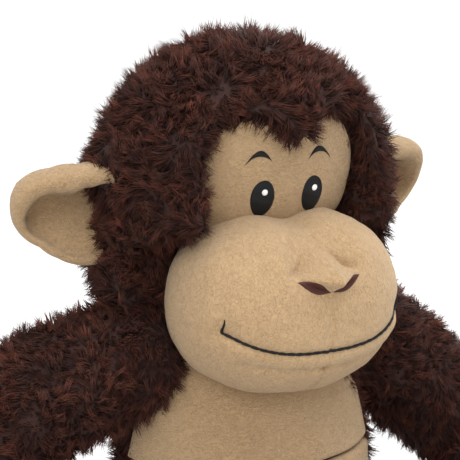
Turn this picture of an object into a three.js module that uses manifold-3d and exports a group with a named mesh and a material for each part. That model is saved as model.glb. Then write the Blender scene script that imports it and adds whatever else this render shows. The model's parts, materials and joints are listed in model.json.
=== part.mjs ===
// A stuffed toy monkey, sitting with its legs forward. Millimetres, +Z up.
// It faces -Y, so its own left is +X. The origin is the middle of the flat seat,
// on the surface that the toy sits on.
// Fur pieces are solid to about half the depth of their pile.

import * as THREE from 'three';
import { mergeVertices } from 'three/addons/utils/BufferGeometryUtils.js';
import Module from 'manifold-3d';

// Clearances and fabric
const gap = 0.4; // between pieces sewn or glued face to face
const socketPlay = 4; // between a root ball and the socket round it
const stayGap = 0.8; // between a root ball and its stay
const stayThickness = 1.2;
const stayHalfAngle = 24; // degrees, of the round stay behind a root ball
const furWall = 7; // long pile fabric with half its pile
const panelWall = 4; // short pile fabric with its backing
const stitchHeight = 1.2; // embroidery over the fabric

// Torso
const torsoWidth = 130;
const torsoDepth = 114;
const chestDepthShare = 0.76; // the torso is flatter at the neck than at the hips
const torsoHeight = 150;
// Its side from the seat up, as shares of its half width and of its height
const torsoProfile = [[0.94, 0.1], [1, 0.3], [0.985, 0.57], [0.92, 0.77], [0.76, 0.91], [0.5, 1]];
const seatWidth = 100;
const seatThickness = 6;
const chestSeamHeight = 89;
const frontWidth = 112; // of the chest and belly panels
const frontTopShare = 0.55; // how much of that width is left at the neck
const frontBottomShare = 0.3; // and at the seat
const frontStart = 7; // the side edge of the front, ahead of the torso's middle
const frontBottom = 10;
const neckCoverDrop = 8; // the neck cover's lower edge, below the torso's top

// Neck and head
const neckForward = 13; // the neck's middle, ahead of the torso's
const neckRadius = 33;
const chinRoom = 8; // between the muzzle and the chest
const neckRoomSlope = 12; // degrees, of the head's underside round the neck
const headForward = 25;
const headRise = 65; // the head's middle over the neck's
const headWidth = 140;
const headDepth = 122;
const headHeight = 160;
const gussetWidth = 46;

// Face
const faceFront = 43; // the face's foremost skin, ahead of the head's middle
const faceBulge = 31;
const faceCurveWidth = 108;
const faceCurveHeight = 120;
const faceRise = 15;
const facePanelWidth = 82;
const lobeRise = 28; // the panel's top, over the middle of the face's curve
const peakDrop = 9; // the point of fur between the two lobes
const faceStart = 6; // the panel's back edge, ahead of the head's middle
const eyeSpacing = 27;
const eyeWidth = 11.6;
const eyeHeight = 17;
const eyeRise = 8;
const highlightRadius = 1.5;
const browSpacing = 32;
const browWidth = 14;
const browRise = 29.5; // its ends, over the head's middle
const browArch = 8;
const browArchInner = 4;

// Muzzle
const muzzleForward = 35;
const muzzleDrop = 47; // below the head's middle
const muzzleWidth = 112;
const muzzleDepth = 98;
const muzzleHeight = 80;
const muzzleRoot = 14; // where its open back meets the head
const mouthHalfWidth = 46;
const mouthDrop = 10;
const smileRise = 13;
const mouthLine = 1.8;
const noseWidth = 34;
const noseDepth = 22; // from its middle, inside the muzzle, to its tip
const noseHeight = 28;
const noseRise = 28;
const noseTip = 3; // how far the nose stands ahead of the muzzle
const nostrilHeight = 8;
const nostrilDrop = 3.5; // its outer end, below the nose's middle
const nostrilSlope = 5;

// Ears
const earWidth = 48;
const earHeight = 43;
const earThickness = 20;
const earBack = 24; // behind the head's middle
const earDrop = 8;
const earSink = 5; // how far the ear's root lies under the head's surface
const earRootRadius = 5;
const earRootLength = 12;
const earRootHeight = 17;
const earRootRoom = 10; // round the root ball
const earCupDepth = 8;
const earLiningThickness = 1.5;

// Arms, in the shoulder's own frame for the left side, at no drop
const shoulderSink = 30; // how deep an arm's root ball lies in the torso's side
const shoulderHeight = 136;
const armRadius = 27;
const wristRadius = 19;
const armPoints = [[0, 0, 0], [42, -2, -4], [82, -14, -16], [104, -42, -50]];
const leftArmDrop = 26; // degrees: the left arm hangs lower than the right
const rightArmDrop = 0;
const armLowest = 48; // degrees below level, at the shoulder
const armRoomShare = 0.8; // of its radius, from the root to the lowered arm's room
const handLength = 50;
const handWidth = 36;
const handThickness = 26;
const handReach = 15; // the hand's middle, past the wrist
const thumbLength = 26;
const thumbRadius = 7.5;
const thumbAngle = 60; // degrees from the hand's length

// Legs
const hipSink = 55; // how deep a leg's root ball lies in the torso's side
const hipForward = 28;
const legRadius = 28;
const ankleRadius = 22;
const legLength = 116;
const legSplay = 14; // degrees, outward from straight ahead
const footLength = 82;
const footWidth = 50;
const footThickness = 36;
const footReach = 9; // the foot's middle, past the ankle
const seatClearance = 1; // between a leg and the surface below
const soleThickness = 9;

// Tail
const tailRadius = 11;
const tailTipRadius = 9;
const tailPoints = [[0, 0, 0], [4, 45, -7], [24, 88, -7], [64, 104, 0], [84, 84, 16]];
const tailSocketDepth = 6;
const tailSeatGap = 8; // between the tail's root and the surface below

// Back seam and care label
const seamWidth = 2.4;
const seamBottom = 50;
const seamLength = 60;
const labelThickness = 1;
const labelLength = 18; // with the part inside the seam
const labelSink = 2;
const labelWidth = 12;
const labelHeight = 30;

const materials = {
  fur: { color: 0x3c2019, roughness: 0.8, metalness: 0 },
  plush: { color: 0xc9a67c, roughness: 0.9, metalness: 0 },
  stitch: { color: 0x1c1d1f, roughness: 0.5, metalness: 0 },
  nostril: { color: 0x3a1c16, roughness: 0.6, metalness: 0 },
  highlight: { color: 0xf4f4f0, roughness: 0.5, metalness: 0 },
  stuffing: { color: 0xf1eee6, roughness: 1, metalness: 0 },
  lining: { color: 0xd8cfc0, roughness: 0.95, metalness: 0 },
};

const wasm = await Module();
wasm.setup();

// Solids

function solid(geometry) {
  geometry.deleteAttribute('normal');
  geometry.deleteAttribute('uv');
  const merged = mergeVertices(geometry, 1e-4);
  const corners = [];
  const index = merged.index.array;
  for (let i = 0; i < index.length; i += 3) {
    const [a, b, c] = index.slice(i, i + 3);
    if (a !== b && b !== c && c !== a) corners.push(a, b, c);
  }
  return new wasm.Manifold(new wasm.Mesh({
    numProp: 3,
    vertProperties: new Float32Array(merged.attributes.position.array),
    triVerts: new Uint32Array(corners),
  }));
}

const radians = THREE.MathUtils.degToRad;
const vector = (x, y, z) => new THREE.Vector3(x, y, z);

function ellipsoid([x, y, z], [width, depth, height], sides = 14, rings = 8) {
  const geometry = new THREE.SphereGeometry(1, sides, rings);
  geometry.rotateX(Math.PI / 2);
  geometry.scale(width / 2, depth / 2, height / 2);
  geometry.translate(x, y, z);
  return solid(geometry);
}

function ball(center, radius, sides = 14, rings = 8) {
  const size = 2 * radius;
  return ellipsoid(center, [size, size, size], sides, rings);
}

function box([x, y, z], [width, depth, height]) {
  const geometry = new THREE.BoxGeometry(width, depth, height);
  geometry.translate(x, y, z);
  return solid(geometry);
}

// An outline drawn in X and Z, as a block from back to front.
function prism(shape, back, front, curveSegments = 4) {
  const settings = { depth: back - front, bevelEnabled: false, curveSegments };
  const geometry = new THREE.ExtrudeGeometry(shape, settings);
  geometry.rotateX(Math.PI / 2);
  geometry.translate(0, back, 0);
  return solid(geometry);
}

// A turned shape about Z; its profile goes up the outside, from axis to axis.
function turned(profile, sides = 24) {
  const points = profile.map(([radius, height]) => new THREE.Vector2(radius, height));
  const geometry = new THREE.LatheGeometry(points, sides);
  geometry.rotateX(Math.PI / 2);
  return geometry;
}

// A round shape along a curve: a turned shape whose axis is bent onto the curve.
function bent(curve, radiusAt, overrun, steps = 4, sides = 10) {
  const frames = curve.computeFrenetFrames(steps, false);
  const rings = Array.from({ length: steps + 1 }, (_, i) => [radiusAt(i / steps), i]);
  const geometry = turned([[0, 0], ...rings, [0, steps]], sides);
  const position = geometry.attributes.position;
  for (let k = 0; k < position.count; k += 1) {
    const i = Math.round(position.getZ(k));
    const spot = curve.getPointAt(i / steps);
    spot.addScaledVector(frames.normals[i], position.getX(k));
    spot.addScaledVector(frames.binormals[i], position.getY(k));
    if (i === steps) spot.addScaledVector(frames.tangents[i], overrun);
    position.setXYZ(k, ...spot);
  }
  return solid(geometry);
}

// The round stay behind a root ball: a cap of a thin sphere, facing a direction.
function stay(center, radius, direction) {
  const arcSteps = 2;
  const arc = (r) => Array.from({ length: arcSteps + 1 }, (_, i) => {
    const angle = radians(stayHalfAngle) * (i / arcSteps);
    return [r * Math.sin(angle), r * Math.cos(angle)];
  });
  const inner = arc(radius + stayGap);
  const outer = arc(radius + stayGap + stayThickness).reverse();
  const geometry = turned([...inner, ...outer], 12);
  const turn = new THREE.Quaternion().setFromUnitVectors(vector(0, 0, 1), direction.normalize());
  geometry.applyQuaternion(turn);
  geometry.translate(...center);
  return solid(geometry);
}

function union(...solids) {
  return solids.reduce((whole, next) => whole.add(next));
}

function less(whole, ...cuts) {
  return cuts.reduce((left, cut) => left.subtract(cut), whole);
}

const far = 1000;
const ahead = (y) => box([0, y - far / 2, 0], [far, far, far]);
const above = (z) => box([0, 0, z + far / 2], [far, far, far]);
const leftOf = (x) => box([x + far / 2, 0, 0], [far, far, far]);
const rightOf = (x) => box([x - far / 2, 0, 0], [far, far, far]);

const toy = new THREE.Group();

function add(name, shape, material) {
  const { vertProperties, triVerts } = shape.getMesh();
  const geometry = new THREE.BufferGeometry();
  geometry.setAttribute('position', new THREE.BufferAttribute(vertProperties, 3));
  geometry.setIndex(new THREE.BufferAttribute(triVerts, 1));
  geometry.computeVertexNormals();
  const mesh = new THREE.Mesh(geometry, new THREE.MeshStandardMaterial(materials[material]));
  mesh.name = name;
  toy.add(mesh);
}

const sides = [['left', 1], ['right', -1]];

// Places that more than one sub-part needs

const neck = [0, -neckForward, torsoHeight];
const head = [0, -headForward, torsoHeight + headRise];
const muzzle = [0, head[1] - muzzleForward, head[2] - muzzleDrop];
const face = [0, head[1] - faceFront + faceBulge, head[2] + faceRise];
const shoulder = (s) => [s * (torsoWidth / 2 + armRadius - shoulderSink), 0, shoulderHeight];
const hip = (s) => [s * (torsoWidth / 2 + legRadius - hipSink), -hipForward, legRadius + seatClearance];

// Torso

// The torso's outer form, drawn in by inset all round.
function torsoForm(inset) {
  const side = torsoProfile.map(([out, up]) => [out * torsoWidth / 2, up * torsoHeight]);
  const points = [[seatWidth / 2, 0], ...side].map(([x, y]) => new THREE.Vector2(x, y));
  const outline = new THREE.SplineCurve(points);
  const rings = outline.getPoints(6).map((p) => [p.x - inset, p.y]);
  rings[0][1] += inset;
  rings[rings.length - 1][1] -= inset;
  const bottom = rings[0][1];
  const top = rings[rings.length - 1][1];
  const geometry = turned([[0, bottom], ...rings, [0, top]], 16);
  const position = geometry.attributes.position;
  const flatness = torsoDepth / torsoWidth;
  for (let k = 0; k < position.count; k += 1) {
    const rise = Math.max(0, position.getZ(k) / torsoHeight - 0.5) * 2;
    const share = THREE.MathUtils.lerp(flatness, flatness * chestDepthShare, rise);
    position.setY(k, position.getY(k) * share);
  }
  return solid(geometry);
}

// The tan front's outline, in X and Z.
function frontOutline(grow) {
  const half = frontWidth / 2 + grow;
  const top = half * frontTopShare;
  const foot = half * frontBottomShare;
  const bottom = frontBottom - grow;
  const upperBend = (chestSeamHeight + torsoHeight) / 2;
  const lowerBend = (chestSeamHeight + frontBottom) / 5;
  const shape = new THREE.Shape();
  shape.moveTo(-top, torsoHeight);
  shape.quadraticCurveTo(-half, upperBend, -half, chestSeamHeight);
  shape.quadraticCurveTo(-half, lowerBend, -foot, bottom);
  shape.lineTo(foot, bottom);
  shape.quadraticCurveTo(half, lowerBend, half, chestSeamHeight);
  shape.quadraticCurveTo(half, upperBend, top, torsoHeight);
  return shape;
}

// The room that an arm needs at its root, where it hangs lowest.
function armRoom(s) {
  const root = shoulder(s);
  const slope = radians(armLowest);
  const reach = armRoomShare * armRadius;
  const out = s * reach * Math.cos(slope);
  const lower = [root[0] + out, root[1], root[2] - reach * Math.sin(slope)];
  return union(ball(root, armRadius + socketPlay), ball(lower, armRadius + 1.5 * socketPlay));
}

// The room that a leg needs as it swings from straight ahead to straight down.
function legRoom(s) {
  const radius = legRadius + socketPlay;
  const [x, y, z] = hip(s);
  const bottom = -gap;
  const down = new THREE.CylinderGeometry(radius, radius, z - bottom, 14);
  down.rotateX(Math.PI / 2);
  down.translate(x, y, (z + bottom) / 2);
  const forward = new THREE.CylinderGeometry(radius, radius, torsoDepth, 14);
  forward.translate(x, y - torsoDepth / 2, z);
  const corner = box([x, y - torsoDepth / 2, (z + bottom) / 2], [2 * radius, torsoDepth, z - bottom]);
  return union(ball([x, y, z], radius), solid(down), solid(forward), corner);
}

const tailRoot = [0, torsoDepth / 2 - tailSocketDepth, tailRadius + tailSeatGap];
const tailRoom = ball(tailRoot, tailRadius + socketPlay, 10, 6);

const limbRooms = union(
  ...sides.map(([, s]) => armRoom(s)),
  ...sides.map(([, s]) => legRoom(s)),
  tailRoom,
);

// The flat seat, grown all round.
function seatForm(grow) {
  const radius = seatWidth / 2 + grow;
  const height = seatThickness + 2 * grow;
  const geometry = new THREE.CylinderGeometry(radius, radius, height, 28);
  geometry.scale(1, 1, torsoDepth / torsoWidth);
  geometry.rotateX(Math.PI / 2);
  geometry.translate(0, 0, height / 2 - grow);
  return solid(geometry);
}

// The closing seam's block at the back, grown all round.
function seamBlock(grow) {
  const middle = [0, torsoDepth / 2, seamBottom + seamLength / 2];
  return box(middle, [seamWidth + 2 * grow, torsoDepth, seamLength + 2 * grow]);
}

function makeTorso() {
  const neckBall = (inset) => ball(neck, neckRadius - inset);
  const outer = torsoForm(0).add(neckBall(0));
  const inner = torsoForm(furWall).add(neckBall(furWall));
  const shell = less(outer, inner, limbRooms);
  const front = prism(frontOutline(0), -frontStart, -torsoDepth);
  const frontHole = prism(frontOutline(gap), gap - frontStart, -torsoDepth);
  const neckFoot = torsoHeight - neckCoverDrop;

  const upper = above(chestSeamHeight + gap / 2);
  const lower = above(chestSeamHeight - gap / 2);
  const wall = less(shell, seatForm(gap), above(neckFoot));
  add('chest_panel', wall.intersect(front).intersect(upper), 'plush');
  add('belly_panel', less(wall.intersect(front), lower), 'plush');
  const back = less(wall, frontHole, seamBlock(gap));
  add('back_left', back.intersect(leftOf(gap / 2)), 'fur');
  add('back_right', back.intersect(rightOf(-gap / 2)), 'fur');
  add('neck_cover', shell.intersect(above(neckFoot + gap)), 'fur');
  add('seat_panel', less(seatForm(0), limbRooms), 'fur');

  const sewn = torsoForm(1).subtract(torsoForm(furWall - 1));
  add('closing_seam', sewn.intersect(seamBlock(0)), 'stitch');

  const fill = torsoForm(furWall + gap).add(neckBall(furWall + gap));
  add('torso_stuffing', less(fill, limbRooms, seatForm(gap)), 'stuffing');
}

makeTorso();

// Neck stay and head

add('neck_stay', stay(neck, neckRadius, vector(0, 0, 1)), 'lining');

// An outline's points, moved out from the face's middle.
function grown(points, grow) {
  const middle = face[2];
  return points.map(([x, z]) => {
    const reach = Math.hypot(x, z - middle);
    const share = 1 + grow / reach;
    return [x * share, middle + (z - middle) * share];
  });
}

// The face panel's outline: two lobes over the brows, with a point of fur between.
function faceOutline(grow) {
  const half = facePanelWidth / 2;
  const top = face[2] + lobeRise;
  const lobe = half * 0.62;
  const points = grown([
    [-half * 0.8, muzzle[2]], [-half, face[2] - 4], [-lobe, top],
    [0, top - peakDrop],
    [lobe, top], [half, face[2] - 4], [half * 0.8, muzzle[2]],
  ], grow);
  const [start, sideA, lobeA, peak, lobeB, sideB, end] = points;
  const shape = new THREE.Shape();
  shape.moveTo(...start);
  shape.lineTo(...sideA);
  shape.quadraticCurveTo(sideA[0], lobeA[1], ...lobeA);
  shape.quadraticCurveTo(lobeA[0] / 4, lobeA[1], ...peak);
  shape.quadraticCurveTo(lobeB[0] / 4, lobeB[1], ...lobeB);
  shape.quadraticCurveTo(sideB[0], lobeB[1], ...sideB);
  shape.lineTo(...end);
  return shape;
}

function headForm(inset) {
  const size = [headWidth - 2 * inset, headDepth - 2 * inset, headHeight - 2 * inset];
  return ellipsoid(head, size, 18, 10);
}

function faceForm(inset) {
  const size = [faceCurveWidth - 2 * inset, 2 * (faceBulge - inset), faceCurveHeight - 2 * inset];
  return ellipsoid(face, size, 16, 10);
}

function muzzleForm(inset) {
  const size = [muzzleWidth - 2 * inset, muzzleDepth - 2 * inset, muzzleHeight - 2 * inset];
  return ellipsoid(muzzle, size, 16, 10);
}

// The muzzle's room in the face: its own form, and all that is behind its outline.
function muzzleRoom() {
  const shape = new THREE.Shape();
  shape.absellipse(0, muzzle[2], muzzleWidth / 2 + gap, muzzleHeight / 2 + gap, 0, 2 * Math.PI);
  return union(muzzleForm(-gap), prism(shape, head[1] + headDepth, muzzle[1]));
}

const noseCenter = [0, muzzle[1] - muzzleDepth / 2 - noseTip + noseDepth, muzzle[2] + noseRise];

function noseForm(inset) {
  const size = [noseWidth - 2 * inset, 2 * (noseDepth - inset), noseHeight - 2 * inset];
  return ellipsoid(noseCenter, size, 12, 6);
}

// The room under the head for the neck and the shoulders.
function neckRoom(grow) {
  const reach = headWidth;
  const rise = reach * Math.tan(radians(neckRoomSlope));
  const cone = turned([[0, -reach], [reach, -reach], [reach, rise], [0, 0]], 16);
  cone.translate(neck[0], neck[1], neck[2] + grow);
  return union(solid(cone), ball(neck, neckRadius + socketPlay + grow));
}

// How wide the head is at the ears' roots, as a share of its widest.
const earSpan = Math.sqrt(1 - (2 * earBack / headDepth) ** 2 - (2 * earDrop / headHeight) ** 2);
const earOut = earSpan * headWidth / 2 - earSink;
const earRoot = (s) => [s * earOut, head[1] + earBack, head[2] - earDrop];
const earRoom = (s) => ball(earRoot(s), earRootRadius + earRootRoom, 10, 6);
const armRooms = union(...sides.map(([, s]) => armRoom(s)));

function makeHead() {
  const faceBack = head[1] - faceStart;
  const faceFar = head[1] - headDepth;
  const faceBlock = prism(faceOutline(0), faceBack, faceFar);
  const faceHole = prism(faceOutline(gap), faceBack + gap, faceFar);
  const rooms = [neckRoom(0), armRooms, ...sides.map(([, s]) => earRoom(s))];
  const shell = less(headForm(0), headForm(furWall), faceHole, muzzleForm(-gap), ...rooms);
  const half = gussetWidth / 2;
  const middle = box([0, head[1], head[2]], [gussetWidth, far, far]);
  add('head_gusset', shell.intersect(middle), 'fur');
  add('head_side_left', shell.intersect(leftOf(half + gap)), 'fur');
  add('head_side_right', shell.intersect(rightOf(-half - gap)), 'fur');

  const facePanel = faceForm(0).subtract(faceForm(panelWall)).intersect(faceBlock);
  add('face_panel', facePanel.subtract(muzzleRoom()), 'plush');

  const muzzleFront = ahead(muzzle[1] + muzzleForward - muzzleRoot);
  const chinRooms = [torsoForm(-chinRoom), ball(neck, neckRadius + chinRoom)];
  const muzzleShell = less(muzzleForm(0), muzzleForm(panelWall), ...chinRooms);
  const muzzleSkin = muzzleShell.intersect(muzzleFront);
  add('muzzle_left', muzzleSkin.intersect(leftOf(gap / 2)), 'plush');
  add('muzzle_right', muzzleSkin.intersect(rightOf(-gap / 2)), 'plush');
  add('nose', noseForm(0).subtract(muzzleForm(-gap)), 'plush');

  const behindFace = less(faceHole, faceForm(panelWall + gap));
  const stuffingRooms = [neckRoom(gap), ...rooms, muzzleForm(-gap)];
  const stuffing = less(headForm(furWall + gap), behindFace, ...stuffingRooms);
  add('head_stuffing', stuffing, 'stuffing');
  const muzzleFill = less(muzzleForm(panelWall + gap), ...chinRooms);
  add('muzzle_stuffing', muzzleFill.intersect(muzzleFront), 'stuffing');
}

makeHead();

// Embroidery

// An outline drawn on the fabric under it, as a thin layer over that form.
function embroider(name, shape, form, middle, lift, material) {
  const thread = form(-lift - stitchHeight).subtract(form(-lift));
  const area = prism(shape, middle[1], middle[1] - headDepth);
  add(name, thread.intersect(area), material);
}

function mouthShape() {
  const low = muzzle[2] - mouthDrop;
  const line = new THREE.SplineCurve([-1, -0.78, -0.4, 0, 0.4, 0.78, 1].map((share) => {
    const rise = smileRise * Math.abs(share) ** 3;
    return new THREE.Vector2(share * mouthHalfWidth, low + rise);
  }));
  const points = line.getPoints(8);
  const upper = points.map((p) => new THREE.Vector2(p.x, p.y + mouthLine / 2));
  const lower = points.map((p) => new THREE.Vector2(p.x, p.y - mouthLine / 2));
  return new THREE.Shape([...lower, ...upper.reverse()]);
}

function ovalShape(x, z, width, height) {
  return new THREE.Shape().absellipse(x, z, width / 2, height / 2, 0, 2 * Math.PI);
}

function browShape(x, z) {
  const half = browWidth / 2;
  const shape = new THREE.Shape();
  shape.moveTo(x - half, z);
  shape.quadraticCurveTo(x, z + browArch, x + half, z);
  shape.quadraticCurveTo(x, z + browArchInner, x - half, z);
  return shape;
}

function nostrilShape(s) {
  const outer = noseCenter[2] - nostrilDrop;
  const inner = outer - nostrilSlope;
  const shape = new THREE.Shape();
  shape.moveTo(s * gap, inner);
  shape.lineTo(s * noseWidth * 0.4, outer);
  shape.quadraticCurveTo(s * noseWidth * 0.3, outer - nostrilHeight, s * gap, inner - gap);
  return shape;
}

function makeFeatures() {
  const eyeLevel = head[2] + eyeRise;
  const highlightLift = 2 * gap + stitchHeight;
  sides.forEach(([side, s]) => {
    const eyeX = s * eyeSpacing / 2;
    const eye = ovalShape(eyeX, eyeLevel, eyeWidth, eyeHeight);
    embroider(`eye_${side}`, eye, faceForm, face, gap, 'stitch');
    const size = 2 * highlightRadius;
    const light = ovalShape(eyeX, eyeLevel + eyeHeight / 6, size, size);
    embroider(`eye_highlight_${side}`, light, faceForm, face, highlightLift, 'highlight');
    const brow = browShape(s * browSpacing / 2, head[2] + browRise);
    embroider(`brow_${side}`, brow, faceForm, face, gap, 'stitch');
    embroider(`nostril_${side}`, nostrilShape(s), noseForm, noseCenter, gap, 'nostril');
  });
  embroider('mouth_stitch', mouthShape(), muzzleForm, muzzle, gap, 'stitch');
}

makeFeatures();

// Ears: a cup with a lining, on a thin root

function makeEar(side, s) {
  const root = earRoot(s);
  const center = [root[0] + s * earWidth / 2, root[1], root[2]];
  const shrunk = (amount) => [earWidth, earThickness, earHeight].map((length) => length - 2 * amount);
  const outer = ellipsoid(center, shrunk(0), 14, 8);
  const hollowAt = [center[0], center[1] - earCupDepth, center[2]];
  const hollow = ellipsoid(hollowAt, shrunk(panelWall), 12, 6);
  const headRoom = headForm(-socketPlay);
  const rootBall = ball(root, earRootRadius, 8, 6);
  const rootSize = [earRootLength, 2 * earRootRadius - 2, earRootHeight];
  const rootBlock = box([root[0] + s * earRootLength / 2, root[1], root[2]], rootSize);
  const back = less(outer, hollow, headRoom).add(less(union(rootBall, rootBlock), hollow));
  add(`ear_back_${side}`, back, 'plush');

  const liningOuter = ellipsoid(hollowAt, shrunk(panelWall + gap), 12, 6);
  const liningAt = [hollowAt[0], hollowAt[1] - earLiningThickness, hollowAt[2]];
  const liningInner = ellipsoid(liningAt, shrunk(panelWall + gap), 12, 6);
  const liningFront = ahead(center[1] - earCupDepth);
  add(`ear_lining_${side}`, less(liningOuter, liningInner, liningFront, headRoom), 'plush');
}

sides.forEach(([side, s]) => makeEar(side, s));

// Limbs

// A round limb on a root ball; overrun carries its far end past the curve's.
function limbForm(root, curve, radiusAt, inset, overrun, steps) {
  const body = bent(curve, (t) => radiusAt(t) - inset, overrun, steps);
  return body.add(ball(root, radiusAt(0) - inset));
}

// All the space past a flat cut across Y, on the side that sign gives.
function pastCut(start, sign) {
  const geometry = new THREE.BoxGeometry(far, far, far);
  geometry.translate(0, start + sign * far / 2, 0);
  return geometry;
}

function makeArm(side, s) {
  const root = shoulder(s);
  const drop = radians(side === 'left' ? leftArmDrop : rightArmDrop);
  const points = armPoints.map(([x, y, z]) => {
    const point = vector(x, y, z).applyAxisAngle(vector(0, 1, 0), drop);
    return vector(s * point.x, point.y, point.z).add(vector(...root));
  });
  const curve = new THREE.CatmullRomCurve3(points);
  const radiusAt = (t) => THREE.MathUtils.lerp(armRadius, wristRadius, t * t);
  const form = (inset, overrun) => limbForm(root, curve, radiusAt, inset, overrun);
  add(`arm_fur_${side}`, form(0, 0).subtract(form(furWall, gap)), 'fur');
  add(`arm_stuffing_${side}`, form(furWall + gap, 0), 'stuffing');

  const along = curve.getTangentAt(1);
  const across = vector(0, 1, 0).addScaledVector(along, -along.y).normalize();
  const thick = new THREE.Vector3().crossVectors(along, across);
  const frame = new THREE.Matrix4().makeBasis(across, thick, along);
  frame.setPosition(curve.getPointAt(1).addScaledVector(along, handReach));
  const place = (geometry) => solid(geometry.applyMatrix4(frame));
  const mitt = (grow) => {
    const geometry = new THREE.SphereGeometry(1, 10, 6);
    geometry.scale(handWidth / 2 + grow, handThickness / 2 + grow, handLength / 2 + grow);
    return place(geometry);
  };
  const wrist = form(-gap, gap);
  const hand = less(mitt(0), wrist);
  add(`hand_palm_${side}`, hand.intersect(place(pastCut(s * gap / 2, s))), 'plush');
  add(`hand_back_${side}`, hand.intersect(place(pastCut(-s * gap / 2, -s))), 'plush');
  const thumb = new THREE.CapsuleGeometry(thumbRadius, thumbLength - 2 * thumbRadius, 2, 8);
  thumb.rotateZ(radians(thumbAngle));
  thumb.translate(-handWidth / 2, 0, 0);
  add(`thumb_${side}`, less(place(thumb), mitt(gap), wrist), 'plush');
  add(`shoulder_stay_${side}`, stay(root, armRadius, vector(-s, 0, 0)), 'lining');
}

sides.forEach(([side, s]) => makeArm(side, s));

function makeLeg(side, s) {
  const root = hip(s);
  const turn = radians(legSplay) * s;
  const place = (geometry) => solid(geometry.rotateZ(turn).translate(...root));
  const ankle = vector(0, -legLength, ankleRadius + seatClearance - root[2]);
  ankle.applyAxisAngle(vector(0, 0, 1), turn).add(vector(...root));
  const curve = new THREE.LineCurve3(vector(...root), ankle);
  const radiusAt = (t) => THREE.MathUtils.lerp(legRadius, ankleRadius, t);
  const form = (inset, overrun) => limbForm(root, curve, radiusAt, inset, overrun, 2);
  add(`leg_fur_${side}`, form(0, 0).subtract(form(furWall, gap)), 'fur');
  add(`leg_stuffing_${side}`, form(furWall + gap, 0), 'stuffing');

  const foot = new THREE.SphereGeometry(1, 12, 8);
  foot.scale(footWidth / 2, footThickness / 2, footLength / 2);
  foot.translate(0, -legLength - footReach, footLength / 2 - root[2]);
  const whole = less(place(foot), form(-gap, gap));
  const split = soleThickness - legLength - footReach - footThickness / 2;
  const sole = place(pastCut(split - gap / 2, -1));
  const top = place(pastCut(split + gap / 2, 1));
  add(`foot_sole_${side}`, whole.intersect(sole), 'plush');
  add(`foot_top_${side}`, whole.intersect(top), 'plush');
  add(`hip_stay_${side}`, stay(root, legRadius, vector(0, 1, 1)), 'lining');
}

sides.forEach(([side, s]) => makeLeg(side, s));

// Tail

function makeTail() {
  const points = tailPoints.map(([x, y, z]) => vector(x, y, z).add(vector(...tailRoot)));
  const curve = new THREE.CatmullRomCurve3(points);
  const radiusAt = (t) => THREE.MathUtils.lerp(tailRadius, tailTipRadius, t);
  const body = bent(curve, radiusAt, 0, 7, 8);
  const rootEnd = ball(tailRoot, tailRadius, 8, 6);
  const tip = ball(points.at(-1).toArray(), tailTipRadius, 8, 4);
  add('tail_fur', union(body, rootEnd, tip), 'fur');
}

makeTail();

// Care label, blank, sewn into the side of the seat

const labelAt = torsoWidth / 2 + labelLength / 2 - labelSink;
const label = box([labelAt, 0, labelHeight], [labelLength, labelThickness, labelWidth]);
add('care_label', less(label, torsoForm(-gap)), 'lining');

export default toy;
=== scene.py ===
import json
import math
import bmesh
import bpy
import numpy as np
from mathutils import Matrix, Vector, noise
from mathutils.bvhtree import BVHTree

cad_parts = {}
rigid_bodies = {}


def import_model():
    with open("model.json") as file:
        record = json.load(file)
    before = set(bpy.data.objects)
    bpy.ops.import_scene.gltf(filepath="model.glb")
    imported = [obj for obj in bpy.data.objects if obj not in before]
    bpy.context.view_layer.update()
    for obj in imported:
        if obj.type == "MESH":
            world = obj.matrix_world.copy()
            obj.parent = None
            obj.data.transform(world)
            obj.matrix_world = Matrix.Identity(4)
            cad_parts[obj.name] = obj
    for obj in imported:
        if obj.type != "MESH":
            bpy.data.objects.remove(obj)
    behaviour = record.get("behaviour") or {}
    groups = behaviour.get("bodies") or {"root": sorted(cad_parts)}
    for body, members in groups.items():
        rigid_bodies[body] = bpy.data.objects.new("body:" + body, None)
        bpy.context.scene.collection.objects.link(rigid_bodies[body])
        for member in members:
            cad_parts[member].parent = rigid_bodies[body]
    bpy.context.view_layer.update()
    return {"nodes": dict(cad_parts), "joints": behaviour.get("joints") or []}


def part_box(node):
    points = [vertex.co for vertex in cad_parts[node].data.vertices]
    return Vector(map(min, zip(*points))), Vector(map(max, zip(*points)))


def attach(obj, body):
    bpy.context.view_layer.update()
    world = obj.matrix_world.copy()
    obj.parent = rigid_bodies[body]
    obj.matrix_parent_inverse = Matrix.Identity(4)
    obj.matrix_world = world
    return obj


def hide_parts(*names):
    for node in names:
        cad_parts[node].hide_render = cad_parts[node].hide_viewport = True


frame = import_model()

mm = 0.001
jointAt = {j["name"]: Vector(j["pos_m"]) for j in frame["joints"]}
sides = (("left", 1), ("right", -1))
headMid = Vector((0, jointAt["ear_fold_left"].y, jointAt["ear_fold_left"].z))  # level with the ears' joints
neckAt = jointAt["neck_turn"]


# Materials

class Val:
    # a shader socket that takes part in sums
    def __init__(self, mat, socket):
        self.mat, self.socket = mat, socket

    def math(self, operation, other=0.0):
        return self.mat.node("ShaderNodeMath", {"operation": operation}, {0: self, 1: other})[0]

    def __add__(self, other): return self.math("ADD", other)
    def __radd__(self, other): return self.math("ADD", other)
    def __mul__(self, other): return self.math("MULTIPLY", other)
    def __rmul__(self, other): return self.math("MULTIPLY", other)


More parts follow.
